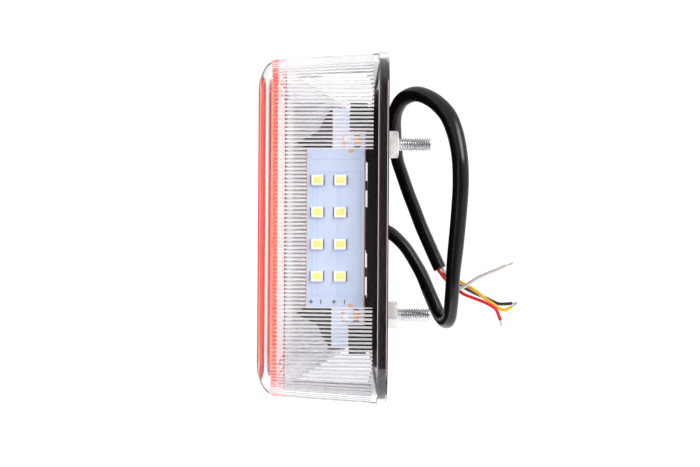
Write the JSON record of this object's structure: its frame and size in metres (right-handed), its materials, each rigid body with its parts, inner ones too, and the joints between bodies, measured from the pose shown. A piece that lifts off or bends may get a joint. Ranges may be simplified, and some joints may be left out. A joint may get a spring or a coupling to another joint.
{
  "type": "trailer tail light",
  "caption": "Square combination tail light with a red front, clear fluted sides, a side number-plate light window, two rear studs with nuts and a flying lead.",
  "frame": {"origin": "middle of the back, on the mounting plane half way between the two studs", "axes": "+X out of the back along the studs, +Z along the line of the studs, -Y the side with the number-plate window"},
  "size_m": [0.0745, 0.098, 0.094],
  "materials": {
    "clear_lens": "clear polycarbonate, polished, fluted inside",
    "red_lens": "transparent red lens plastic",
    "metallised": "vacuum-metallised mirror finish on plastic",
    "housing_black": "black ABS, fine moulded texture",
    "rubber_black": "soft black rubber",
    "board_white": "white solder mask on laminate, bare brown edges",
    "led_package": "white LED package with a coloured well",
    "component_black": "moulded component body with tinned ends",
    "solder": "bright solder",
    "zinc_plated": "bright zinc plating",
    "cable_black": "soft PVC sheath with a low sheen",
    "core_white": "PVC insulation",
    "core_yellow": "PVC insulation",
    "core_black": "PVC insulation",
    "core_red": "PVC insulation",
    "tinned_copper": "stripped stranded conductor"
  },
  "bodies": {
    "lamp": {"outer_lens": "clear_lens", "front_panel": "red_lens", "inner_lens": "red_lens", "lens_seal": "rubber_black", "reflector": "metallised", "base_housing": "housing_black", "cable_grommet": "rubber_black", "main_board": "board_white", "board_screw_1": "zinc_plated", "board_screw_2": "zinc_plated", "board_screw_3": "zinc_plated", "board_screw_4": "zinc_plated", "stop_led_1": "led_package", "stop_led_2": "led_package", "stop_led_3": "led_package", "stop_led_4": "led_package", "stop_led_5": "led_package", "stop_led_6": "led_package", "stop_led_7": "led_package", "stop_led_8": "led_package", "stop_led_9": "led_package", "turn_led_1": "led_package", "turn_led_2": "led_package", "turn_led_3": "led_package", "plate_board": "board_white", "board_bracket": "housing_black", "plate_led_1": "led_package", "plate_led_2": "led_package", "plate_led_3": "led_package", "plate_led_4": "led_package", "plate_led_5": "led_package", "plate_led_6": "led_package", "plate_led_7": "led_package", "plate_led_8": "led_package", "plate_resistor_upper": "component_black", "plate_resistor_lower": "component_black", "rectifier_diode": "component_black", "surge_diode": "component_black", "stop_resistor": "component_black", "turn_resistor": "component_black", "solder_joint_upper": "solder", "solder_joint_lower": "solder", "upper_stud": "zinc_plated", "lower_stud": "zinc_plated", "cable_sheath": "cable_black", "core_white": "core_white", "strand_white": "tinned_copper", "core_yellow": "core_yellow", "strand_yellow": "tinned_copper", "core_black": "core_black", "strand_black": "tinned_copper", "core_red": "core_red", "strand_red": "tinned_copper"},
    "upper_washer": {"upper_washer": "zinc_plated"},
    "upper_nut": {"upper_nut": "zinc_plated"},
    "lower_washer": {"lower_washer": "zinc_plated"},
    "lower_nut": {"lower_nut": "zinc_plated"}
  },
  "joints": [
    {"name": "upper_washer_travel", "type": "slide", "parent": "lamp", "child": "upper_washer", "axis": [1, 0, 0], "range_m": [0, 0.0091]},
    {"name": "upper_nut_turn", "type": "hinge", "parent": "upper_washer", "child": "upper_nut", "pos_m": [0, 0, 0.025], "axis": [1, 0, 0], "range_deg": [0, 4680]},
    {"name": "lower_washer_travel", "type": "slide", "parent": "lamp", "child": "lower_washer", "axis": [1, 0, 0], "range_m": [0, 0.0091]},
    {"name": "lower_nut_turn", "type": "hinge", "parent": "lower_washer", "child": "lower_nut", "pos_m": [0, 0, -0.025], "axis": [1, 0, 0], "range_deg": [0, 4680]}
  ],
  "couplings": [
    {"joint": "upper_nut_turn", "follows": "upper_washer_travel", "rad_per_m": 8976},
    {"joint": "lower_nut_turn", "follows": "lower_washer_travel", "rad_per_m": 8976}
  ]
}
